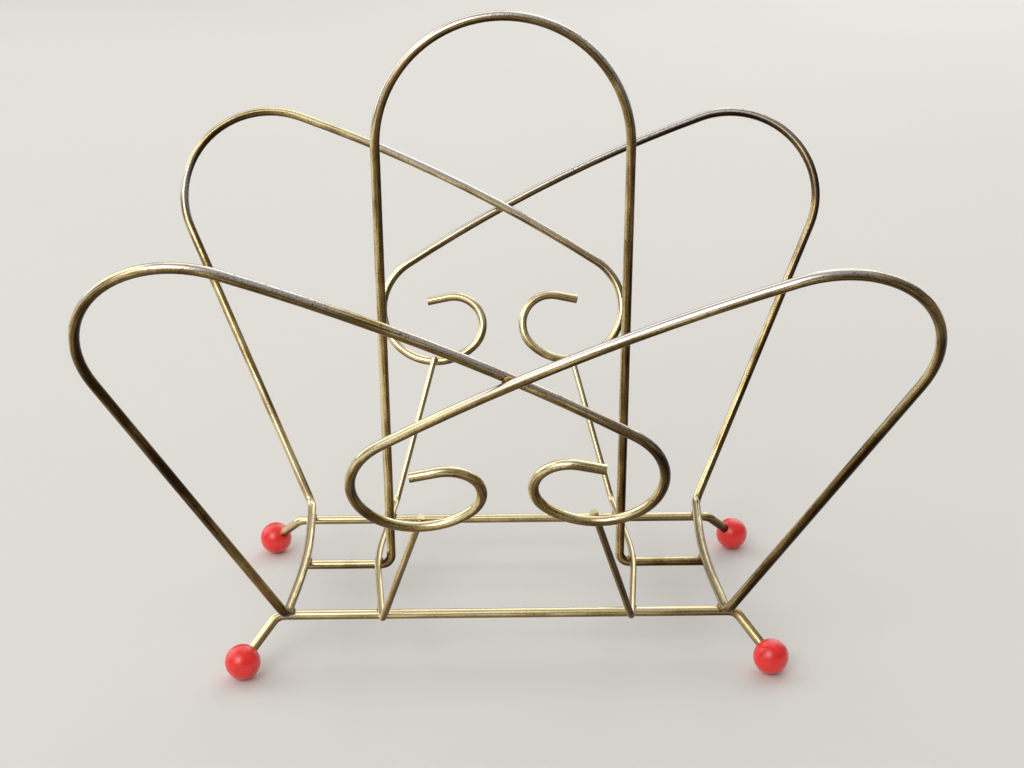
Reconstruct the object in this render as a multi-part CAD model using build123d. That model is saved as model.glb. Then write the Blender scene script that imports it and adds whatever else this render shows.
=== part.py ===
from build123d import *
import math
import os

# A magazine rack of welded round wire on four ball feet.
# Millimetres. +X is to the right, +Y to the back and +Z up. The origin is on the floor, at the middle of
# the rack, which is the same left to right and front to back but for the side that passes outside.

# Stock
wire_diameter = 5.5
strut_diameter = 4.0
ball_diameter = 20.0

# Joints between the pieces
weld_gap = 0.3              # air between two welded wires, which the weld fills
weld_clearance = 0.1        # between a weld and each of its wires
wire_weld_radius = 2.9
strut_weld_radius = 2.4
ball_hole_clearance = 0.05  # on the radius, round the wire's end
ball_hole_air = 0.4         # left past the wire's end at the bottom of the hole
wire_end_past_centre = 2.0  # how far a leg reaches past the middle of its ball

# Rails: the two long wires of the base, which end in the legs
rail_spacing = 132.0
rail_height = 30.0
rail_past_cross_run = 7.3   # from a loop wire's cross run to the knee
leg_reach_x = 18.5          # from the knee to the middle of the ball
leg_reach_y = 17.4
knee_radius = 8.0

# Loop wires: each has one cross run over the rails and two leaning faces
cross_run_spacing = 247.0
cross_run_bow = 5.4         # each cross run bows in towards the middle of the rack
cross_run_bow_radius = 600.0
cross_run_overhang_length = 11.8  # from a rail to the corner where the wire turns up
base_bend_radius = 9.0
lean_angle = 26.8           # of the faces, from upright, the mean of both wires
toe_angle = 4.6             # each wire stands out further towards its scroll
arm_angle = 68.4            # of the straight arm, in the plane of its face
arm_length = 196.5          # from the corner to the start of the loop
loop_radius = 56.0
loop_turn = 133.0
diagonal_radius = 940.0     # the long run between loop and scroll is slightly bowed
diagonal_turn = 13.3
scroll_radius = 35.7
scroll_turn = 190.4
curl_radius = 19.3
curl_turn = 147.6
curl_tail = 13.8

# Hoop: the middle arch and handle
hoop_foot_spacing = 137.4   # between the corners where the legs meet the feet
hoop_arch_radius = 71.2
hoop_arch_height = 284.7    # of the arch's centre
hoop_bend_radius = 6.0
hoop_foot_overhang = 3.5    # past the loop wires' cross runs

# Struts: thin wires that hold the scrolls
strut_overhang_length = 16.6  # from a rail to the corner where the wire turns up
strut_bend_radius = 7.0
strut_bow = 7.8             # the cross run bows out, round the foot of the hoop
strut_bow_radius = 250.0
strut_beside_bend = 1.5     # from the hoop's bend to the strut on its foot
strut_past_scroll = 1.2     # how far each end stands above its weld

# Worked out from the sizes above
wire_radius = wire_diameter / 2
strut_radius = strut_diameter / 2
ball_radius = ball_diameter / 2
rail_y = rail_spacing / 2
cross_run_x = cross_run_spacing / 2
cross_run_z = rail_height + wire_diameter + weld_gap
corner_y = rail_y + cross_run_overhang_length
hoop_foot_x = hoop_foot_spacing / 2
strut_z = rail_height + wire_radius + strut_radius + weld_gap
strut_corner_y = rail_y + strut_overhang_length

LEFT, RIGHT = -1, 1
FRONT, REAR = -1, 1
SIDES = {LEFT: "left", RIGHT: "right"}
FACES = {FRONT: "front", REAR: "rear"}


def round_wire(path, diameter):
    """A round wire along a path of straight runs and tangent arcs."""
    start = Plane(origin=path @ 0, z_dir=path % 0)
    return sweep(start * Circle(diameter / 2), path=path)


def corner_arc(before, corner, after, radius):
    """The arc that rounds a corner between two points, as its start, middle and end."""
    towards_before = (before - corner).normalized()
    towards_after = (after - corner).normalized()
    half_angle = math.radians(towards_before.get_angle(towards_after)) / 2
    start = corner + towards_before * (radius / math.tan(half_angle))
    end = corner + towards_after * (radius / math.tan(half_angle))
    inwards = (towards_before + towards_after).normalized()
    middle = corner + inwards * (radius / math.sin(half_angle) - radius)
    return start, middle, end


def bow_at(y, corner_y, bow, radius):
    """How far a bowed cross run stands out beyond its corners, at a distance y from its middle."""
    slope = math.atan(bow / corner_y)
    if abs(y) > radius * math.sin(slope):
        return bow * (1 - abs(y) / corner_y)
    bow_of_arc = bow - radius * (1 / math.cos(slope) - 1)
    return bow_of_arc - (radius - math.sqrt(radius**2 - y**2))


def loop_run_x(y):
    return cross_run_x - bow_at(y, corner_y, cross_run_bow, cross_run_bow_radius)


def strut_run_x(y):
    """The middle of a strut's cross run passes just outside the bend of the hoop."""
    middle_x = hoop_foot_x + hoop_bend_radius + strut_beside_bend
    middle_bow = bow_at(0, strut_corner_y, strut_bow, strut_bow_radius)
    return middle_x - middle_bow + bow_at(y, strut_corner_y, strut_bow, strut_bow_radius)


# The faces of the loop wires -----------------------------------------------------------------------------

def face_route():
    """The flat shape of a face: its runs from the corner to the scroll's end, in the face's own plane.

    Each run is a list of two points for a straight run and three for an arc. The first coordinate is the
    distance outwards from the corner, the second the distance up the face.
    """
    steps = (
        (None, arm_length),
        (loop_radius, loop_turn),
        (diagonal_radius, diagonal_turn),
        (scroll_radius, scroll_turn),
        (curl_radius, curl_turn),
        (None, curl_tail),
    )
    runs = []
    across, up, heading = 0.0, 0.0, math.radians(arm_angle)
    for radius, amount in steps:
        run = [(across, up)]
        if radius is None:
            across += amount * math.cos(heading)
            up += amount * math.sin(heading)
        else:
            centre_across = across - radius * math.sin(heading)
            centre_up = up + radius * math.cos(heading)
            for part in (0.5, 1.0):
                angle = heading + part * math.radians(amount)
                across = centre_across + radius * math.sin(angle)
                up = centre_up - radius * math.cos(angle)
                if part < 1.0:
                    run.append((across, up))
            heading = angle
        run.append((across, up))
        runs.append(run)
    return runs


def face_directions(side, face, lean):
    """Unit vectors of a face: outwards from the middle of the rack, and up the face."""
    toe = math.radians(toe_angle)
    tilt = math.radians(lean)
    outwards = Vector(side * math.cos(toe), -face * math.sin(toe), 0)
    away = Vector(side * math.sin(toe), face * math.cos(toe), 0)
    upwards = Vector(0, 0, math.cos(tilt)) + away * math.sin(tilt)
    return outwards, upwards


def bow_of_diagonal():
    """Centre of the bowed diagonal, in the plane of the face."""
    loop_start = face_route()[1][0]
    heading = math.radians(arm_angle)
    across = loop_start[0] - loop_radius * math.sin(heading)
    up = loop_start[1] + loop_radius * math.cos(heading)
    heading += math.radians(loop_turn)
    across -= (diagonal_radius - loop_radius) * math.sin(heading)
    up += (diagonal_radius - loop_radius) * math.cos(heading)
    return across, up


def crossing_on_face():
    """Where the diagonal meets the middle of the rack: across and up the face, and its heading there."""
    outwards, upwards = face_directions(RIGHT, REAR, lean_angle)
    centre_across, centre_up = bow_of_diagonal()
    offset = cross_run_x + centre_across * outwards.X + centre_up * upwards.X
    slope = math.hypot(outwards.X, upwards.X)
    heading = math.pi + math.asin(offset / (diagonal_radius * slope)) + math.atan2(upwards.X, outwards.X)
    across = centre_across + diagonal_radius * math.sin(heading)
    up = centre_up - diagonal_radius * math.cos(heading)
    return across, up, heading


def lean_of(side):
    """The right wire leans out more than the left one, so that it passes outside it at the crossing."""
    outwards, upwards = face_directions(RIGHT, REAR, lean_angle)
    across, up, heading = crossing_on_face()
    along = outwards * math.cos(heading) + upwards * math.sin(heading)
    between = Vector(0, -along.Z, along.Y).normalized()
    square_on = abs(between.dot(outwards.cross(upwards)))
    step = math.degrees(math.asin((wire_diameter + weld_gap) / 2 / (up * square_on)))
    return lean_angle + side * step


def corner_of(side, face):
    return Vector(side * cross_run_x, face * corner_y, cross_run_z)


def bow_corner(side):
    """Where the two straight ends of a loop wire's cross run would meet."""
    return Vector(side * (cross_run_x - cross_run_bow), 0, cross_run_z)


def on_face(side, face, point):
    """A point of the flat shape, set in the rack."""
    outwards, upwards = face_directions(side, face, lean_of(side))
    return corner_of(side, face) + outwards * point[0] + upwards * point[1]


def face_edges(side, face):
    """The edges of a face from its bend at the base to the scroll's end."""
    runs = [[on_face(side, face, point) for point in run] for run in face_route()]
    start, middle, end = corner_arc(bow_corner(side), corner_of(side, face), runs[0][1], base_bend_radius)
    edges = [ThreePointArc(start, middle, end), Line(end, runs[0][1])]
    for run in runs[1:]:
        edges.append(Line(*run) if len(run) == 2 else ThreePointArc(*run))
    return edges


def loop_path(side):
    """One wire: front scroll, diagonal, loop and arm, the cross run, and the same again at the back."""
    front = face_edges(side, FRONT)
    rear = face_edges(side, REAR)
    corners = (corner_of(side, FRONT), bow_corner(side), corner_of(side, REAR))
    start, middle, end = corner_arc(*corners, cross_run_bow_radius)
    cross_run = [Line(front[0] @ 0, start), ThreePointArc(start, middle, end), Line(end, rear[0] @ 0)]
    return Wire(front + cross_run + rear)


def scroll_bottom(side, face):
    """The lowest point of a loop wire's scroll, which lies on the other side of the rack."""
    start = face_route()[3][0]
    heading = math.radians(arm_angle + loop_turn + diagonal_turn)
    across = start[0] - scroll_radius * math.sin(heading)
    up = start[1] + scroll_radius * math.cos(heading) - scroll_radius
    return on_face(side, face, (across, up))


# Base, hoop and struts -----------------------------------------------------------------------------------

def knee_of(side, face):
    return Vector(side * (loop_run_x(rail_y) + rail_past_cross_run), face * rail_y, rail_height)


def ball_centre(side, face):
    return Vector(knee_of(side, face).X + side * leg_reach_x, face * (rail_y + leg_reach_y), ball_radius)


def leg_direction(side, face):
    return (ball_centre(side, face) - knee_of(side, face)).normalized()


def leg_end(side, face):
    return ball_centre(side, face) + leg_direction(side, face) * wire_end_past_centre


def rail_path(face):
    points = (leg_end(LEFT, face), knee_of(LEFT, face), knee_of(RIGHT, face), leg_end(RIGHT, face))
    return Wire(FilletPolyline(*points, radius=knee_radius).edges())


def ball_foot(side, face):
    """A ball with a blind hole for the end of the leg."""
    centre = ball_centre(side, face)
    hole_bottom = leg_end(side, face) + leg_direction(side, face) * ball_hole_air
    hole = Cylinder(
        wire_radius + ball_hole_clearance,
        ball_diameter,
        align=(Align.CENTER, Align.CENTER, Align.MIN),
    )
    drill = Plane(origin=hole_bottom, z_dir=-leg_direction(side, face))
    return Pos(centre) * Sphere(ball_radius) - drill * hole


def hoop_path():
    """Feet on the floor side of the cross runs, legs that spread slightly, and a round arch."""
    foot_end = loop_run_x(0) + hoop_foot_overhang
    arch_centre = Vector(0, 0, hoop_arch_height)
    rise = hoop_arch_height - rail_height
    corner_distance = math.hypot(hoop_foot_x, rise)
    tangent_angle = math.acos(hoop_arch_radius / corner_distance) - math.atan2(rise, hoop_foot_x)
    feet, legs, arch_ends = [], [], []
    for side in SIDES:
        corner = Vector(side * hoop_foot_x, 0, rail_height)
        tip = Vector(side * foot_end, 0, rail_height)
        direction = Vector(side * math.cos(tangent_angle), 0, math.sin(tangent_angle))
        arch_end = arch_centre + direction * hoop_arch_radius
        start, middle, end = corner_arc(tip, corner, arch_end, hoop_bend_radius)
        feet.append([Line(tip, start), ThreePointArc(start, middle, end)])
        legs.append(Line(end, arch_end))
        arch_ends.append(arch_end)
    arch = ThreePointArc(arch_ends[0], arch_centre + Vector(0, 0, hoop_arch_radius), arch_ends[1])
    return Wire(feet[0] + [legs[0], arch, legs[1]] + feet[1])


def strut_corner(side, face):
    return Vector(side * strut_run_x(strut_corner_y), face * strut_corner_y, strut_z)


def strut_weld_point(side, face):
    """Where a strut's centre line passes the scroll, on the scroll's inner side."""
    corner = strut_corner(side, face)
    scroll = scroll_bottom(-side, face)
    along_scroll, _ = face_directions(-side, face, lean_of(-side))
    point = scroll
    for _ in range(3):  # the arm's slant and its offset from the scroll settle each other
        across_both = along_scroll.cross(point - corner).normalized()
        inwards = across_both * (-1 if across_both.Y * face > 0 else 1)
        point = scroll + inwards * (wire_radius + strut_radius + weld_gap)
    return point


def strut_end(side, face):
    weld_point = strut_weld_point(side, face)
    return weld_point + (weld_point - strut_corner(side, face)).normalized() * strut_past_scroll


def strut_path(side):
    """A cross run that bows out round the foot of the hoop, and two arms up to the scrolls."""
    points = (
        strut_end(side, FRONT),
        strut_corner(side, FRONT),
        Vector(side * (strut_run_x(strut_corner_y) + strut_bow), 0, strut_z),
        strut_corner(side, REAR),
        strut_end(side, REAR),
    )
    radii = (strut_bend_radius, strut_bow_radius, strut_bend_radius)
    return Wire(FilletPolyline(*points, radius=radii).edges())


# Welds ---------------------------------------------------------------------------------------------------

def weld(point, radius, *wires):
    """A round weld between two wires, hollowed where each of them lies. A wire is a path and a diameter."""
    lower, upper = [path.distance_to_with_closest_points(point)[1] for path, _ in wires]
    bead = Plane(origin=point, z_dir=upper - lower) * Sphere(radius)
    for (path, diameter), middle in zip(wires, (lower, upper)):
        groove = Cylinder(diameter / 2 + weld_clearance, 4 * radius)
        bead -= Plane(origin=middle, z_dir=path.tangent_at(middle)) * groove
    return bead


def hoop_welds(side, hoop, loop, strut):
    """The cross runs of a loop wire and of a strut lie on the foot of the hoop."""
    seat_z = rail_height + wire_radius + weld_gap / 2
    loop_seat = Vector(side * loop_run_x(0), 0, seat_z)
    strut_seat = Vector(side * strut_run_x(0), 0, seat_z)
    return [weld(loop_seat, wire_weld_radius, hoop, loop), weld(strut_seat, strut_weld_radius, hoop, strut)]


def rail_welds(face, rail, loops, struts):
    """The same cross runs lie on each rail."""
    seat_z = rail_height + wire_radius + weld_gap / 2
    welds = []
    for side in SIDES:
        loop_seat = Vector(side * loop_run_x(rail_y), face * rail_y, seat_z)
        strut_seat = Vector(side * strut_run_x(rail_y), face * rail_y, seat_z)
        welds.append(weld(loop_seat, wire_weld_radius, rail, loops[side]))
        welds.append(weld(strut_seat, strut_weld_radius, rail, struts[side]))
    return welds


def scroll_welds(face, loops, struts):
    """Each strut holds the scroll of the loop wire from the other side."""
    welds = []
    for side in SIDES:
        scroll = scroll_bottom(-side, face)
        inwards = (strut_weld_point(side, face) - scroll).normalized()
        seat = scroll + inwards * (wire_radius + weld_gap / 2)
        welds.append(weld(seat, strut_weld_radius, loops[-side], struts[side]))
    return welds


def crossing_weld(face, loops):
    across, up, _ = crossing_on_face()
    middle = (on_face(LEFT, face, (across, up)) + on_face(RIGHT, face, (across, up))) / 2
    return weld(middle, wire_weld_radius, loops[LEFT], loops[RIGHT])


def build():
    """Every piece of the rack by its name. A name with several solids is a group of like welds."""
    hoop = (hoop_path(), wire_diameter)
    loops = {side: (loop_path(side), wire_diameter) for side in SIDES}
    struts = {side: (strut_path(side), strut_diameter) for side in SIDES}
    rails = {face: (rail_path(face), wire_diameter) for face in FACES}
    pieces = {"hoop": [round_wire(*hoop)]}
    for side, side_name in SIDES.items():
        pieces[f"{side_name}_loop"] = [round_wire(*loops[side])]
        pieces[f"{side_name}_strut"] = [round_wire(*struts[side])]
        pieces[f"{side_name}_hoop_welds"] = hoop_welds(side, hoop, loops[side], struts[side])
    for face, face_name in FACES.items():
        pieces[f"{face_name}_rail"] = [round_wire(*rails[face])]
        pieces[f"{face_name}_rail_welds"] = rail_welds(face, rails[face], loops, struts)
        pieces[f"{face_name}_scroll_welds"] = scroll_welds(face, loops, struts)
        pieces[f"{face_name}_crossing_weld"] = [crossing_weld(face, loops)]
        for side, side_name in SIDES.items():
            pieces[f"ball_foot_{face_name}_{side_name}"] = [ball_foot(side, face)]
    return pieces


def write_parts(pieces):
    os.makedirs("parts", exist_ok=True)
    for name, shapes in pieces.items():
        solids = [solid for shape in shapes for solid in shape.solids()]
        shape = solids[0] if len(solids) == 1 else Compound(children=solids)
        export_step(shape, f"parts/{name}.step")


write_parts(build())
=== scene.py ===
"""Finishes a welded wire magazine rack: worn brass plating, weld beads, painted ball feet, plain stage."""
import math

import bpy
from mathutils import Matrix, Vector


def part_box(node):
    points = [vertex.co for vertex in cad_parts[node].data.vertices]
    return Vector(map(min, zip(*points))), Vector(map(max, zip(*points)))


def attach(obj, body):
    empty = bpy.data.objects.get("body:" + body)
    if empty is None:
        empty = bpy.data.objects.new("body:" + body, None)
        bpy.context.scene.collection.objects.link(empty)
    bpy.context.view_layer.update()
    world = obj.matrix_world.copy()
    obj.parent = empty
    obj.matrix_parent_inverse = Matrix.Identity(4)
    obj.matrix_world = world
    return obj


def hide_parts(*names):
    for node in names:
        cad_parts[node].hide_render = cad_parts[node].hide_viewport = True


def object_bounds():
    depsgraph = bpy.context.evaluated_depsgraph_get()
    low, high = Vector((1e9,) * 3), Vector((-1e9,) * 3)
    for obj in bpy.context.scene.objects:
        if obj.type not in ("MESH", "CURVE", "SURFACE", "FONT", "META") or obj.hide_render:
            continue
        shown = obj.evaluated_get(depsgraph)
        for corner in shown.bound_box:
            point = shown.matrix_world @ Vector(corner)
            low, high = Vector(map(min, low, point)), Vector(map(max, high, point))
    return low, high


bl_info = {
    "name": "Wire magazine rack",
    "version": (1, 0, 0),
    "blender": (4, 5, 0),
    "location": "3D View > Sidebar > Magazine rack",
    "description": "Finishes the wires, welds and ball feet of a magazine rack and sets the stage for it",
    "category": "Object",
}

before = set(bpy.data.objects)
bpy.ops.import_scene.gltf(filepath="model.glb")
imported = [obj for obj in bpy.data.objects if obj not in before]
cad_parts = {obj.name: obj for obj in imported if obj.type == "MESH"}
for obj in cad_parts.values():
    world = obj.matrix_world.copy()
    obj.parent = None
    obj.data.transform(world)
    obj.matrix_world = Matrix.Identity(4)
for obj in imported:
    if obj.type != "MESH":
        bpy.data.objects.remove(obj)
CAD_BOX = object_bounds()

MM = 0.001
METRE = 1 / MM  # millimetres in a metre, for patterns that repeat once every so many millimetres

LOOPS = ("left_loop", "right_loop")
RAILS_AND_STRUTS = ("front_rail", "rear_rail", "left_strut", "right_strut")
WELD_NODES = sorted(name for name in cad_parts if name.endswith(("_welds", "_weld")))
BALL_NODES = sorted(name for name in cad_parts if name.startswith("ball_foot_"))

WIRE_DIAMETER_MM = 5.5
WIRE_CIRCUMFERENCE_MM = math.pi * WIRE_DIAMETER_MM
LEG_REACH_X_MM = 18.5  # from the knee of a rail to the middle of its ball
LEG_REACH_Y_MM = 17.4
UNIT_CIRCLE = 2 * math.pi
BRIGHT_SIDE = Vector((-0.58, -0.1, 0.81)).normalized()  # the direction that the painted highlight on the wires faces; the side away from it gets painted shade

FLOOR_SIZE = 40.0
LAMPS = (
    # name, setting that holds its power, place, width
    ("Key lamp", "key_power", Vector((-1.9, -3.7, 3.0)), 2.0),
    ("Fill lamp", "fill_power", Vector((-2.4, -3.3, 2.9)), 5.2),
    ("Back lamp", "back_power", Vector((1.9, 3.4, 1.9)), 3.6),
    ("Side lamp", "side_power", Vector((-3.9, 2.0, 2.6)), 5.0),
    ("Top lamp", "top_power", Vector((0.3, 2.3, 3.5)), 3.8),
)
CAMERA_PLACE = Vector((-0.0083, -0.9588, 0.4851))
CAMERA_TURN_DEGREES = -0.756
CAMERA_DROP_DEGREES = 19.561
CAMERA_TILT_DEGREES = -0.235
CAMERA_LENS_MM = 61.52
CAMERA_SENSOR_MM = 36.0


def linear(hex_colour):
    """An sRGB colour as hex turned to the linear colour that a shader takes."""
    channels = [int(hex_colour[i:i + 2], 16) / 255 for i in (1, 3, 5)]
    return tuple(c / 12.92 if c <= 0.04045 else ((c + 0.055) / 1.055) ** 2.4 for c in channels) + (1.0,)


def add_node(tree, kind, sockets=None, **settings):
    """Adds a node, gives it its settings, and fills its sockets with values or with links."""
    node = tree.nodes.new(kind)
    for name, value in settings.items():
        setattr(node, name, value)
    for socket, value in (sockets or {}).items():
        if isinstance(value, bpy.types.NodeSocket):
            tree.links.new(value, node.inputs[socket])
        else:
            node.inputs[socket].default_value = value
    return node


def new_material(name):
    """An empty material and its node tree."""
    material = bpy.data.materials.new(name)
    material.use_nodes = True
    material.node_tree.nodes.clear()
    return material, material.node_tree


def colour_property(name, description, hex_colour):
    """A setting that holds a colour."""
    return bpy.props.FloatVectorProperty(
        name=name,
        description=description,
        subtype="COLOR",
        size=4,
        min=0.0,
        max=1.0,
        default=linear(hex_colour),
    )


def millimetres(name, description, default):
    """A setting that holds a length in millimetres."""
    return bpy.props.FloatProperty(name=name, description=description, default=default, min=0.01)


# Settings ------------------------------------------------------------------------------------------------

class WireSettings(bpy.types.PropertyGroup):
    brass: colour_property("Brass", "Plating where it is still clean", "#D6B97A")
    # The highlight colour of the wires: painted highlight on the side that faces the light.
    painted_highlight_brass: colour_property("Pale brass", "Plating that handling keeps bright", "#F6E8BC")
    # Colour of the real tarnish film, and also of the painted brown shade on the side away from the light.
    tarnish: colour_property("Tarnish", "Brown film on the plating", "#553A17")
    # Colour of the painted near-black shade on the undersides, and of the real specks and pits.
    grime_and_painted_shade: colour_property("Grime", "Dark film that stays on the undersides", "#1A0B02")
    steel: colour_property("Steel", "Bare wire where the plating has worn through", "#D8D1CB")
    patch_mm: millimetres("Patch size", "Size of a patch of tarnish in millimetres", 26.0)
    line_mm: millimetres("Die line spacing", "Distance between the drawn wire's lines in millimetres", 0.9)
    speck_mm: millimetres("Speck size", "Size of a speck of tarnish in millimetres", 0.9)
    pit_mm: millimetres("Pit spacing", "Distance between pits in the plating in millimetres", 1.3)
    reach_mm: millimetres("Reach", "Height above the floor where hands rub the wires in millimetres", 190.0)
    rubbed_mm: millimetres("Rubbed length", "Length of wire that a hand rubs bare in millimetres", 80.0)


class BallSettings(bpy.types.PropertyGroup):
    paint: colour_property("Paint", "Red paint of the balls", "#F5241C")
    deep_paint: colour_property("Deep paint", "Where the paint lies thicker", "#DE110C")
    wood: colour_property("Wood", "Turned wood in the chips and at the hole", "#D9A184")
    mottle_mm: millimetres("Mottle size", "Size of a shade in the paint in millimetres", 6.0)
    chip_mm: millimetres("Chip spacing", "Distance between worn specks in millimetres", 1.9)
    peel_mm: millimetres("Paint ripple", "Width of a ripple of the paint in millimetres", 0.9)


class WeldSettings(bpy.types.PropertyGroup):
    metal: colour_property("Weld metal", "Plated weld, duller than the wire", "#C9AD6C")
    soot: colour_property("Soot", "Dark film in the hollows of a weld", "#69512F")
    growth_mm: millimetres("Growth", "How far a bead swells on to its wires in millimetres", 0.25)
    lump_mm: millimetres("Lump size", "Size of a bead's lumps in millimetres", 1.6)
    lump_height_mm: millimetres("Lump height", "Height of a bead's lumps in millimetres", 0.35)
    grain_mm: millimetres("Cell size", "Size of the cells that the bead is rebuilt from in millimetres", 0.2)


class StageSettings(bpy.types.PropertyGroup):
    floor: colour_property("Floor", "Plain pale floor", "#DAD7D1")
    overhead: bpy.props.FloatProperty(
        name="Overhead", description="Brightness of the surroundings straight above", default=0.5, min=0.0
    )
    horizon: bpy.props.FloatProperty(
        name="Horizon", description="Brightness of the surroundings at eye level", default=0.15, min=0.0
    )
    key_power: bpy.props.FloatProperty(
        name="Key", description="Soft main lamp, in front on the left", default=48.0, min=0.0, unit="POWER"
    )
    fill_power: bpy.props.FloatProperty(
        name="Fill", description="Broad soft lamp round the main lamp", default=90.0, min=0.0, unit="POWER"
    )
    back_power: bpy.props.FloatProperty(
        name="Back", description="Low soft lamp behind the rack", default=45.0, min=0.0, unit="POWER"
    )
    side_power: bpy.props.FloatProperty(
        name="Side", description="Low soft lamp on the left", default=105.0, min=0.0, unit="POWER"
    )
    top_power: bpy.props.FloatProperty(
        name="Top", description="Soft lamp overhead", default=42.0, min=0.0, unit="POWER"
    )


# Materials -----------------------------------------------------------------------------------------------

def wire_patterns(tree, place, facing, settings):
    """The four patterns of a drawn and plated wire: die lines along it, patches, specks and pits."""
    # The way that the surface faces is the same all along a straight wire, so it draws lines along it.
    lines_around = WIRE_CIRCUMFERENCE_MM / settings.line_mm / UNIT_CIRCLE
    around = add_node(tree, "ShaderNodeVectorMath", {0: facing, "Scale": lines_around}, operation="SCALE")
    line_length_mm = 40 * settings.line_mm
    along = add_node(
        tree, "ShaderNodeVectorMath", {0: place, "Scale": METRE / line_length_mm}, operation="SCALE"
    )
    line_place = add_node(tree, "ShaderNodeVectorMath", {0: around.outputs[0], 1: along.outputs[0]})
    lines = add_node(
        tree, "ShaderNodeTexNoise", {"Vector": line_place.outputs[0], "Scale": 1.0, "Detail": 3.0}
    ).outputs["Fac"]
    patches = add_node(
        tree,
        "ShaderNodeTexNoise",
        {"Vector": place, "Scale": METRE / settings.patch_mm, "Detail": 4.0, "Roughness": 0.55},
    ).outputs["Fac"]
    specks = add_node(
        tree,
        "ShaderNodeTexNoise",
        {"Vector": place, "Scale": METRE / settings.speck_mm, "Detail": 3.0, "Roughness": 0.7},
    ).outputs["Fac"]
    pits = add_node(
        tree, "ShaderNodeTexVoronoi", {"Vector": place, "Scale": METRE / settings.pit_mm}
    ).outputs["Distance"]
    return lines, patches, specks, pits


def off_centre(tree, across):
    """The distance from a plane 60 mm left of the middle, so that the right side counts as further out."""
    shifted = add_node(tree, "ShaderNodeMath", {0: across, 1: 60 * MM}).outputs[0]
    return add_node(tree, "ShaderNodeMath", {0: shifted}, operation="ABSOLUTE").outputs[0]


def paint_light_and_shade_by_place(tree, within_reach, distance_out, depth, height):
    """Painted light and shade by place: above zero a spot is painted lighter, and below zero it is painted
    darker, as shade.

    Upper wires in front stay at zero. Wires low down or at the back are painted a little lighter near the
    middle and darker further out, the right side the furthest, less so where they are both, and only half as
    much at the base.
    """
    low_down = add_node(tree, "ShaderNodeMath", {0: 1.0, 1: within_reach}, operation="SUBTRACT").outputs[0]
    behind = add_node(
        tree, "ShaderNodeMapRange", {"Value": depth, "From Min": -20 * MM, "From Max": 60 * MM}
    ).outputs["Result"]
    either = add_node(tree, "ShaderNodeMath", {0: low_down, 1: behind}, operation="MAXIMUM").outputs[0]
    both = add_node(tree, "ShaderNodeMath", {0: low_down, 1: behind}, operation="MULTIPLY").outputs[0]
    shade_weight = add_node(
        tree, "ShaderNodeMath", {0: both, 1: -0.4, 2: either}, operation="MULTIPLY_ADD"
    ).outputs[0]
    lighter_near_darker_far = add_node(
        tree,
        "ShaderNodeMapRange",
        {"Value": distance_out, "From Min": 70 * MM, "From Max": 190 * MM, "To Min": 0.12, "To Max": -0.6},
    ).outputs["Result"]
    above_base = add_node(
        tree,
        "ShaderNodeMapRange",
        {"Value": height, "From Min": 30 * MM, "From Max": 90 * MM, "To Min": 0.5, "To Max": 1.0},
    ).outputs["Result"]
    spread = add_node(
        tree, "ShaderNodeMath", {0: lighter_near_darker_far, 1: shade_weight}, operation="MULTIPLY"
    ).outputs[0]
    return add_node(tree, "ShaderNodeMath", {0: spread, 1: above_base}, operation="MULTIPLY").outputs[0]


def worn_to_steel(tree, settings, place, facing, lines, within_reach, distance_out, wear_cover):
    """Where hands rub the plating off the upper side of the upper wires, and most on the right."""
    across = add_node(tree, "ShaderNodeSeparateXYZ", {"Vector": place}).outputs["X"]
    facing_up = add_node(tree, "ShaderNodeSeparateXYZ", {"Vector": facing}).outputs["Z"]
    upper = add_node(
        tree, "ShaderNodeMath", {0: lines, 1: -0.4, 2: facing_up}, operation="MULTIPLY_ADD"
    ).outputs[0]
    top = add_node(
        tree,
        "ShaderNodeMapRange",
        {"Value": upper, "From Min": -0.18, "From Max": 0.08, "To Max": wear_cover},
        interpolation_type="SMOOTHSTEP",
    ).outputs["Result"]
    grips = add_node(
        tree, "ShaderNodeTexNoise", {"Vector": place, "Scale": METRE / settings.rubbed_mm, "Detail": 2.0}
    ).outputs["Fac"]
    handled = add_node(
        tree, "ShaderNodeMath", {0: across, 1: 1.4, 2: grips}, operation="MULTIPLY_ADD"
    ).outputs[0]
    rubbed = add_node(
        tree,
        "ShaderNodeMapRange",
        {"Value": handled, "From Min": 0.23, "From Max": 0.36},
        interpolation_type="SMOOTHSTEP",
    ).outputs["Result"]
    held = add_node(
        tree, "ShaderNodeMapRange", {"Value": distance_out, "From Min": 270 * MM, "From Max": 200 * MM}
    ).outputs["Result"]
    worn = top
    for limit in (within_reach, rubbed, held):
        worn = add_node(tree, "ShaderNodeMath", {0: worn, 1: limit}, operation="MULTIPLY").outputs[0]
    return worn


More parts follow.
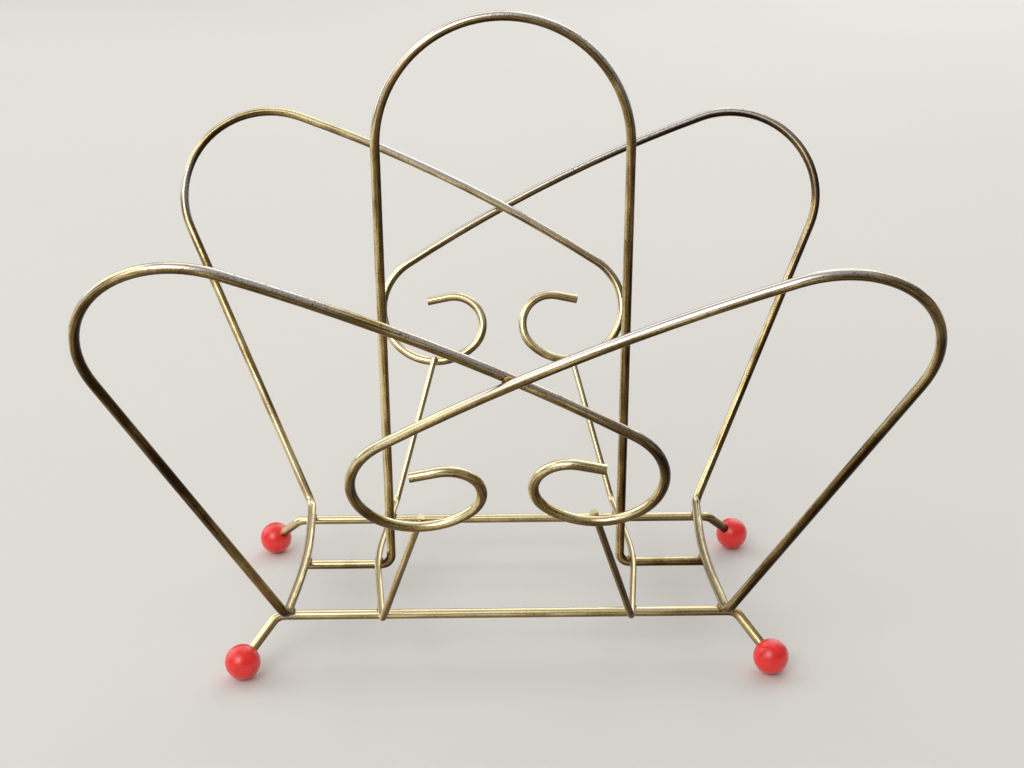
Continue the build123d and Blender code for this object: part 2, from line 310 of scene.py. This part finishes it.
def brass_plating(name, settings, tarnish_and_shade_cover, wear_cover, raggedness):
    """Brass plating on drawn steel wire, with a painted pale highlight on the side that faces BRIGHT_SIDE and
    painted brown and near-black shade on the side away from it, darker still further out on wires low down or
    at the back.

    The eye sees long, fine lines along the wire, a painted pale gold highlight on the upper side, a painted
    brown shade on the underside that ends in a ragged line, patches of real tarnish film, small dark specks
    and pits, and bare steel along the top of the wires that hands reach.
    """
    material, tree = new_material(name)
    place = add_node(tree, "ShaderNodeTexCoord").outputs["Object"]
    facing = add_node(tree, "ShaderNodeNewGeometry").outputs["Normal"]
    across, depth, height = add_node(tree, "ShaderNodeSeparateXYZ", {"Vector": place}).outputs
    lines, patches, specks, pits = wire_patterns(tree, place, facing, settings)
    within_reach = add_node(
        tree,
        "ShaderNodeMapRange",
        {"Value": height, "From Min": 0.8 * settings.reach_mm * MM, "From Max": 1.2 * settings.reach_mm * MM},
    ).outputs["Result"]
    distance_out = off_centre(tree, across)
    painted_light_by_place = paint_light_and_shade_by_place(tree, within_reach, distance_out, depth, height)
    worn = worn_to_steel(tree, settings, place, facing, lines, within_reach, distance_out, wear_cover)

    # The line between the painted highlight and the painted brown shade wanders with the die lines and the
    # patches, and the place shifts it with more painted light or shade.
    side = add_node(
        tree, "ShaderNodeVectorMath", {0: facing, 1: BRIGHT_SIDE}, operation="DOT_PRODUCT"
    ).outputs["Value"]
    lit_side = add_node(tree, "ShaderNodeMath", {0: painted_light_by_place, 1: side}).outputs[0]
    spotted = add_node(tree, "ShaderNodeMath", {0: patches, 1: 0.6}, operation="MULTIPLY").outputs[0]
    streaked = add_node(
        tree, "ShaderNodeMath", {0: lines, 1: 0.8, 2: spotted}, operation="MULTIPLY_ADD"
    ).outputs[0]
    ragged = add_node(
        tree, "ShaderNodeMath", {0: streaked, 1: -raggedness, 2: lit_side}, operation="MULTIPLY_ADD"
    ).outputs[0]
    edge = 0.3 * tarnish_and_shade_cover - 0.7 * raggedness + 0.2
    darkest = 0.85 + 0.15 * tarnish_and_shade_cover
    # bright is a painted highlight in pale brass on the side facing BRIGHT_SIDE; brown and under are painted
    # shade in the tarnish and grime colours on the side away from it.
    bright = add_node(
        tree,
        "ShaderNodeMapRange",
        {"Value": ragged, "From Min": edge - 0.2, "From Max": edge + 0.22, "To Max": 0.9},
        interpolation_type="SMOOTHSTEP",
    ).outputs["Result"]
    brown = add_node(
        tree,
        "ShaderNodeMapRange",
        {"Value": ragged, "From Min": edge, "From Max": edge - 0.4, "To Max": 0.5 + 0.5 * tarnish_and_shade_cover},
        interpolation_type="SMOOTHSTEP",
    ).outputs["Result"]
    under = add_node(
        tree,
        "ShaderNodeMapRange",
        {"Value": ragged, "From Min": edge - 0.33, "From Max": edge - 1.0, "To Max": darkest},
        interpolation_type="SMOOTHSTEP",
    ).outputs["Result"]
    film = add_node(
        tree,
        "ShaderNodeMapRange",
        {"Value": streaked, "From Min": 0.6, "From Max": 0.85, "To Max": 0.6 * tarnish_and_shade_cover},
        interpolation_type="SMOOTHSTEP",
    ).outputs["Result"]
    # The real tarnish film is thinned where the place is painted lighter and thickened where it is painted
    # darker.
    film = add_node(
        tree, "ShaderNodeMath", {0: painted_light_by_place, 1: -0.6, 2: film}, operation="MULTIPLY_ADD"
    ).outputs[0]

    # Specks begin where the painted highlight ends, and pits gather where the patches are thick.
    below_bright = add_node(
        tree, "ShaderNodeMapRange", {"Value": ragged, "From Min": edge + 0.3, "From Max": edge}
    ).outputs["Result"]
    speck = add_node(
        tree,
        "ShaderNodeMapRange",
        {"Value": specks, "From Min": 0.54, "From Max": 0.62, "To Max": 0.3 + 0.7 * tarnish_and_shade_cover},
        interpolation_type="SMOOTHSTEP",
    ).outputs["Result"]
    speckled = add_node(tree, "ShaderNodeMath", {0: speck, 1: below_bright}, operation="MULTIPLY").outputs[0]
    pit = add_node(
        tree,
        "ShaderNodeMapRange",
        {"Value": pits, "From Min": 0.26, "From Max": 0.12},
        interpolation_type="SMOOTHSTEP",
    ).outputs["Result"]
    dirty = add_node(
        tree,
        "ShaderNodeMapRange",
        {"Value": patches, "From Min": 0.45, "From Max": 0.7, "To Max": tarnish_and_shade_cover},
    ).outputs["Result"]
    pitted = add_node(tree, "ShaderNodeMath", {0: pit, 1: dirty}, operation="MULTIPLY").outputs[0]

    colour = settings.brass
    # The film, specks and pits are real tarnish; brown and under lay painted shade, and bright a painted
    # highlight.
    for cover, layer in (
        (bright, settings.painted_highlight_brass),
        (film, settings.tarnish),
        (brown, settings.tarnish),
        (under, settings.grime_and_painted_shade),
        (worn, settings.steel),
        (speckled, settings.grime_and_painted_shade),
        (pitted, settings.grime_and_painted_shade),
    ):
        colour = add_node(
            tree, "ShaderNodeMix", {"Factor": cover, "A": colour, "B": layer}, data_type="RGBA"
        ).outputs["Result"]

    roughness = add_node(
        tree,
        "ShaderNodeMapRange",
        {"Value": streaked, "From Min": 0.5, "From Max": 0.95, "To Min": 0.15, "To Max": 0.3},
    ).outputs["Result"]
    relief = add_node(
        tree, "ShaderNodeMath", {0: pitted, 1: -1.5, 2: lines}, operation="MULTIPLY_ADD"
    ).outputs[0]
    bump = add_node(tree, "ShaderNodeBump", {"Height": relief, "Strength": 0.3, "Distance": 0.1 * MM})
    shader = add_node(
        tree,
        "ShaderNodeBsdfPrincipled",
        {"Base Color": colour, "Roughness": roughness, "Metallic": 1.0, "Normal": bump.outputs[0]},
    )
    add_node(tree, "ShaderNodeOutputMaterial", {"Surface": shader.outputs[0]})
    return material


def painted_wood(settings, hole, hole_radius):
    """Satin red paint on a turned wooden ball, a little mottled, with worn specks round the hole and below.

    The rack is the same left to right and front to back, so one hole, as if in one corner, serves all four.
    """
    material, tree = new_material("Red satin paint on turned wood")
    place = add_node(tree, "ShaderNodeTexCoord").outputs["Object"]
    corner = add_node(tree, "ShaderNodeVectorMath", {0: place}, operation="ABSOLUTE").outputs[0]
    from_hole = add_node(
        tree, "ShaderNodeVectorMath", {0: corner, 1: hole}, operation="DISTANCE"
    ).outputs["Value"]
    height = add_node(tree, "ShaderNodeSeparateXYZ", {"Vector": place}).outputs["Z"]

    mottle = add_node(
        tree,
        "ShaderNodeTexNoise",
        {"Vector": place, "Scale": METRE / settings.mottle_mm, "Detail": 4.0, "Roughness": 0.6},
    ).outputs["Fac"]
    specks = add_node(
        tree, "ShaderNodeTexVoronoi", {"Vector": place, "Scale": METRE / settings.chip_mm}
    ).outputs["Distance"]
    ripple = add_node(
        tree, "ShaderNodeTexNoise", {"Vector": place, "Scale": METRE / settings.peel_mm, "Detail": 2.0}
    ).outputs["Fac"]

    deep = add_node(
        tree,
        "ShaderNodeMapRange",
        {"Value": mottle, "From Min": 0.35, "From Max": 0.75},
        interpolation_type="SMOOTHSTEP",
    ).outputs["Result"]
    near_hole = add_node(
        tree,
        "ShaderNodeMapRange",
        {"Value": from_hole, "From Min": 1.5 * hole_radius, "From Max": 0.9 * hole_radius},
    ).outputs["Result"]
    near_floor = add_node(
        tree, "ShaderNodeMapRange", {"Value": height, "From Min": 4 * MM, "From Max": 0.0}
    ).outputs["Result"]
    rubbed = add_node(tree, "ShaderNodeMath", {0: near_hole, 1: near_floor}, operation="MAXIMUM").outputs[0]
    chance = add_node(
        tree, "ShaderNodeMath", {0: rubbed, 1: 0.3, 2: mottle}, operation="MULTIPLY_ADD"
    ).outputs[0]
    worn_place = add_node(
        tree, "ShaderNodeMapRange", {"Value": chance, "From Min": 0.6, "From Max": 0.8}
    ).outputs["Result"]
    speck = add_node(
        tree, "ShaderNodeMapRange", {"Value": specks, "From Min": 0.22, "From Max": 0.1}
    ).outputs["Result"]
    chips = add_node(tree, "ShaderNodeMath", {0: speck, 1: worn_place}, operation="MULTIPLY").outputs[0]

    colour = add_node(
        tree,
        "ShaderNodeMix",
        {"Factor": deep, "A": settings.paint, "B": settings.deep_paint},
        data_type="RGBA",
    ).outputs["Result"]
    colour = add_node(
        tree, "ShaderNodeMix", {"Factor": chips, "A": colour, "B": settings.wood}, data_type="RGBA"
    ).outputs["Result"]
    roughness = add_node(
        tree,
        "ShaderNodeMapRange",
        {"Value": mottle, "From Min": 0.3, "From Max": 0.7, "To Min": 0.28, "To Max": 0.38},
    ).outputs["Result"]
    relief = add_node(
        tree, "ShaderNodeMath", {0: chips, 1: -1.0, 2: ripple}, operation="MULTIPLY_ADD"
    ).outputs[0]
    bump = add_node(tree, "ShaderNodeBump", {"Height": relief, "Strength": 0.25, "Distance": 0.15 * MM})
    shader = add_node(
        tree,
        "ShaderNodeBsdfPrincipled",
        {
            "Base Color": colour,
            "Roughness": roughness,
            "IOR": 1.5,
            "Coat Weight": 0.6,
            "Coat Roughness": 0.22,
            "Normal": bump.outputs[0],
        },
    )
    add_node(tree, "ShaderNodeOutputMaterial", {"Surface": shader.outputs[0]})
    return material


def plated_weld(settings):
    """Weld metal under the same plating, rough and grainy, so that it stays dull beside the wire."""
    material, tree = new_material("Plated weld metal")
    place = add_node(tree, "ShaderNodeTexCoord").outputs["Object"]
    lumps = add_node(
        tree,
        "ShaderNodeTexNoise",
        {"Vector": place, "Scale": METRE / settings.lump_mm, "Detail": 5.0, "Roughness": 0.65},
    ).outputs["Fac"]
    grains = add_node(
        tree, "ShaderNodeTexVoronoi", {"Vector": place, "Scale": METRE / (0.4 * settings.lump_mm)}
    ).outputs["Distance"]
    sooty = add_node(
        tree,
        "ShaderNodeMapRange",
        {"Value": lumps, "From Min": 0.58, "From Max": 0.4},
        interpolation_type="SMOOTHSTEP",
    ).outputs["Result"]
    colour = add_node(
        tree, "ShaderNodeMix", {"Factor": sooty, "A": settings.metal, "B": settings.soot}, data_type="RGBA"
    ).outputs["Result"]
    roughness = add_node(
        tree, "ShaderNodeMapRange", {"Value": lumps, "To Min": 0.65, "To Max": 0.4}
    ).outputs["Result"]
    relief = add_node(tree, "ShaderNodeMath", {0: lumps, 1: grains}).outputs[0]
    bump = add_node(tree, "ShaderNodeBump", {"Height": relief, "Strength": 0.5, "Distance": 0.2 * MM})
    shader = add_node(
        tree,
        "ShaderNodeBsdfPrincipled",
        {"Base Color": colour, "Roughness": roughness, "Metallic": 1.0, "Normal": bump.outputs[0]},
    )
    add_node(tree, "ShaderNodeOutputMaterial", {"Surface": shader.outputs[0]})
    return material


def matt_floor(settings):
    """A plain pale board with a very faint unevenness, which keeps the object's shadow soft."""
    material, tree = new_material("Pale matt board")
    place = add_node(tree, "ShaderNodeTexCoord").outputs["Object"]
    shade = add_node(
        tree, "ShaderNodeTexNoise", {"Vector": place, "Scale": 2.0, "Detail": 3.0}
    ).outputs["Fac"]
    darker = tuple(0.96 * c for c in settings.floor[:3]) + (1.0,)
    colour = add_node(
        tree, "ShaderNodeMix", {"Factor": shade, "A": settings.floor, "B": darker}, data_type="RGBA"
    ).outputs["Result"]
    shader = add_node(tree, "ShaderNodeBsdfPrincipled", {"Base Color": colour, "Roughness": 0.85})
    add_node(tree, "ShaderNodeOutputMaterial", {"Surface": shader.outputs[0]})
    return material


def finish_node(name, material):
    """Gives every slot of one CAD node the same material."""
    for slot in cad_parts[name].material_slots:
        slot.material = material


# Pieces --------------------------------------------------------------------------------------------------

def apply_modifiers(piece):
    """Applies the modifiers of the active object from first to last."""
    for modifier in list(piece.modifiers):
        bpy.ops.object.modifier_apply(modifier=modifier.name)


def swollen_beads(node, name, settings):
    """The beads of one node, copied, swollen until they meet their wires, and made lumpy."""
    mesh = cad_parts[node].data.copy()
    beads = bpy.data.objects.new(name, mesh)
    bpy.context.scene.collection.objects.link(beads)
    bpy.ops.object.select_all(action="DESELECT")
    bpy.context.view_layer.objects.active = beads
    beads.select_set(True)
    bpy.ops.object.mode_set(mode="EDIT")
    bpy.ops.mesh.select_all(action="SELECT")
    bpy.ops.mesh.remove_doubles(threshold=0.001 * MM)
    bpy.ops.object.mode_set(mode="OBJECT")

    cells = beads.modifiers.new("Even cells", "REMESH")
    cells.mode = "VOXEL"
    cells.voxel_size = settings.grain_mm * MM
    swell = beads.modifiers.new("Swell", "DISPLACE")
    swell.mid_level = 0.0
    swell.strength = settings.growth_mm * MM
    soften = beads.modifiers.new("Soften", "SMOOTH")
    soften.factor = 0.5
    soften.iterations = 6
    lumps = beads.modifiers.new("Lumps", "DISPLACE")
    lumps.texture = bpy.data.textures.new("Lumps of weld metal", "CLOUDS")
    lumps.texture.noise_scale = settings.lump_mm * MM
    lumps.texture_coords = "LOCAL"
    lumps.strength = settings.lump_height_mm * MM
    apply_modifiers(beads)
    bpy.ops.object.shade_smooth()
    return beads


# Operators -----------------------------------------------------------------------------------------------

class RACK_OT_hoop(bpy.types.Operator):
    """Gives the hoop its brass plating, the darkest on the rack."""
    bl_idname = "rack.hoop"
    bl_label = "Hoop"

    def execute(self, context):
        settings = context.scene.rack_wire
        plating = brass_plating(
            "Brass plating, deeply tarnished",
            settings,
            tarnish_and_shade_cover=0.66,
            wear_cover=0.75,
            raggedness=1.2,
        )
        finish_node("hoop", plating)
        return {"FINISHED"}


class RACK_OT_loops(bpy.types.Operator):
    """Gives the two loop wires their brass plating, worn to the steel where hands reach."""
    bl_idname = "rack.loops"
    bl_label = "Loop wires"

    def execute(self, context):
        settings = context.scene.rack_wire
        plating = brass_plating(
            "Brass plating, tarnished and worn",
            settings,
            tarnish_and_shade_cover=0.55,
            wear_cover=0.9,
            raggedness=1.4,
        )
        for name in LOOPS:
            finish_node(name, plating)
        return {"FINISHED"}


class RACK_OT_rails_and_struts(bpy.types.Operator):
    """Gives the rails and the struts their brass plating, which is cleaner than that of the wires above."""
    bl_idname = "rack.rails_and_struts"
    bl_label = "Rails and struts"

    def execute(self, context):
        settings = context.scene.rack_wire
        plating = brass_plating(
            "Brass plating, lightly tarnished",
            settings,
            tarnish_and_shade_cover=0.26,
            wear_cover=0.2,
            raggedness=1.1,
        )
        for name in RAILS_AND_STRUTS:
            finish_node(name, plating)
        return {"FINISHED"}


class RACK_OT_ball_feet(bpy.types.Operator):
    """Paints the four ball feet."""
    bl_idname = "rack.ball_feet"
    bl_label = "Ball feet"

    def execute(self, context):
        lowest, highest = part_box("ball_foot_rear_right")
        rail_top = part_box("rear_rail")[1].z
        centre = (lowest + highest) / 2
        radius = (highest.z - lowest.z) / 2
        centre.z = radius
        wire_radius = WIRE_DIAMETER_MM / 2 * MM
        reach = Vector((LEG_REACH_X_MM * MM, LEG_REACH_Y_MM * MM, 0.0))
        knee = centre - reach
        knee.z = rail_top - wire_radius
        hole = centre + (knee - centre).normalized() * radius
        paint = painted_wood(context.scene.rack_ball, tuple(hole), wire_radius)
        for name in BALL_NODES:
            finish_node(name, paint)
        return {"FINISHED"}


class RACK_OT_weld_beads(bpy.types.Operator):
    """Puts a lumpy bead in place of each weld."""
    bl_idname = "rack.weld_beads"
    bl_label = "Weld beads"

    def execute(self, context):
        settings = context.scene.rack_weld
        metal = plated_weld(settings)
        for node in WELD_NODES:
            beads = swollen_beads(node, node + "_beads", settings)
            beads.data.materials.clear()
            beads.data.materials.append(metal)
            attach(beads, "root")
            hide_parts(node)
        return {"FINISHED"}


class RACK_OT_stage(bpy.types.Operator):
    """Lays the floor, lights the rack and points the camera at it."""
    bl_idname = "rack.stage"
    bl_label = "Stage"

    def execute(self, context):
        settings = context.scene.rack_stage
        lay_floor(settings)
        light_surroundings(context.scene, settings)
        for name, power, place, width in LAMPS:
            hang_lamp(name, place, width, getattr(settings, power))
        point_camera(context.scene)
        context.scene.view_settings.view_transform = "Standard"
        return {"FINISHED"}


# Stage ---------------------------------------------------------------------------------------------------

def lay_floor(settings):
    """A floor so large that its far edge stays out of sight from every side."""
    bpy.ops.mesh.primitive_plane_add(size=FLOOR_SIZE, location=(0, 0, 0))
    floor = bpy.context.object
    floor.name = "floor"
    floor.data.materials.append(matt_floor(settings))


def light_surroundings(scene, settings):
    """Plain grey surroundings that grow brighter towards the ceiling."""
    world = bpy.data.worlds.new("Plain studio")
    world.use_nodes = True
    tree = world.node_tree
    tree.nodes.clear()
    direction = add_node(tree, "ShaderNodeTexCoord").outputs["Generated"]
    height = add_node(tree, "ShaderNodeSeparateXYZ", {"Vector": direction}).outputs["Z"]
    brightness = add_node(
        tree,
        "ShaderNodeMapRange",
        {"Value": height, "From Min": 0.0, "To Min": settings.horizon, "To Max": settings.overhead},
    ).outputs["Result"]
    surroundings = add_node(tree, "ShaderNodeBackground", {"Color": (1, 1, 1, 1), "Strength": brightness})
    add_node(tree, "ShaderNodeOutputWorld", {"Surface": surroundings.outputs[0]})
    scene.world = world


def hang_lamp(name, place, width, power):
    """A square soft lamp that faces the middle of the rack."""
    lowest, highest = Vector(CAD_BOX[0]), Vector(CAD_BOX[1])
    middle = (lowest + highest) / 2
    bpy.ops.object.light_add(type="AREA", location=place)
    lamp = bpy.context.object
    lamp.name = name
    lamp.rotation_euler = (middle - place).to_track_quat("-Z", "Y").to_euler()
    lamp.data.shape = "SQUARE"
    lamp.data.size = width
    lamp.data.energy = power
    lamp.visible_camera = False


def point_camera(scene):
    """A camera in front, above the top of the hoop, that looks down a little."""
    bpy.ops.object.camera_add(location=CAMERA_PLACE)
    camera = bpy.context.object
    camera.data.lens = CAMERA_LENS_MM
    camera.data.sensor_width = CAMERA_SENSOR_MM
    turn = Matrix.Rotation(math.radians(CAMERA_TURN_DEGREES), 4, "Z")
    drop = Matrix.Rotation(math.radians(90 - CAMERA_DROP_DEGREES), 4, "X")
    tilt = Matrix.Rotation(math.radians(CAMERA_TILT_DEGREES), 4, "Z")
    camera.matrix_world = Matrix.Translation(CAMERA_PLACE) @ turn @ drop @ tilt
    scene.camera = camera


# Add-on --------------------------------------------------------------------------------------------------

class RACK_PT_panel(bpy.types.Panel):
    """Lists the finishes of the rack and the steps that apply them."""
    bl_idname = "RACK_PT_panel"
    bl_label = "Magazine rack"
    bl_space_type = "VIEW_3D"
    bl_region_type = "UI"
    bl_category = "Magazine rack"

    def draw(self, context):
        for title, group, operators in PANEL_PARTS:
            box = self.layout.box()
            box.label(text=title)
            settings = getattr(context.scene, group)
            for name in settings.bl_rna.properties.keys():
                if name not in ("rna_type", "name"):
                    box.prop(settings, name)
            for operator in operators:
                box.operator(operator.bl_idname)


PANEL_PARTS = (
    ("Wires", "rack_wire", (RACK_OT_hoop, RACK_OT_loops, RACK_OT_rails_and_struts)),
    ("Ball feet", "rack_ball", (RACK_OT_ball_feet,)),
    ("Welds", "rack_weld", (RACK_OT_weld_beads,)),
    ("Stage", "rack_stage", (RACK_OT_stage,)),
)
SETTINGS = {
    "rack_wire": WireSettings,
    "rack_ball": BallSettings,
    "rack_weld": WeldSettings,
    "rack_stage": StageSettings,
}
CLASSES = (
    *SETTINGS.values(),
    RACK_OT_hoop,
    RACK_OT_loops,
    RACK_OT_rails_and_struts,
    RACK_OT_ball_feet,
    RACK_OT_weld_beads,
    RACK_OT_stage,
    RACK_PT_panel,
)


def register():
    """Registers the classes and hangs each group of settings on the scene."""
    for cls in CLASSES:
        bpy.utils.register_class(cls)
    for name, group in SETTINGS.items():
        setattr(bpy.types.Scene, name, bpy.props.PointerProperty(type=group))


def unregister():
    """Takes the settings and the classes away again, in the opposite order."""
    for name in SETTINGS:
        delattr(bpy.types.Scene, name)
    for cls in reversed(CLASSES):
        bpy.utils.unregister_class(cls)


def main():
    """Dresses the rack piece by piece and sets the stage."""
    register()
    bpy.ops.object.select_all(action="DESELECT")
    bpy.ops.rack.hoop()
    bpy.ops.rack.loops()
    bpy.ops.rack.rails_and_struts()
    bpy.ops.rack.ball_feet()
    bpy.ops.rack.weld_beads()
    bpy.ops.rack.stage()
    bpy.context.view_layer.update()


if __name__ == "__main__":
    main()
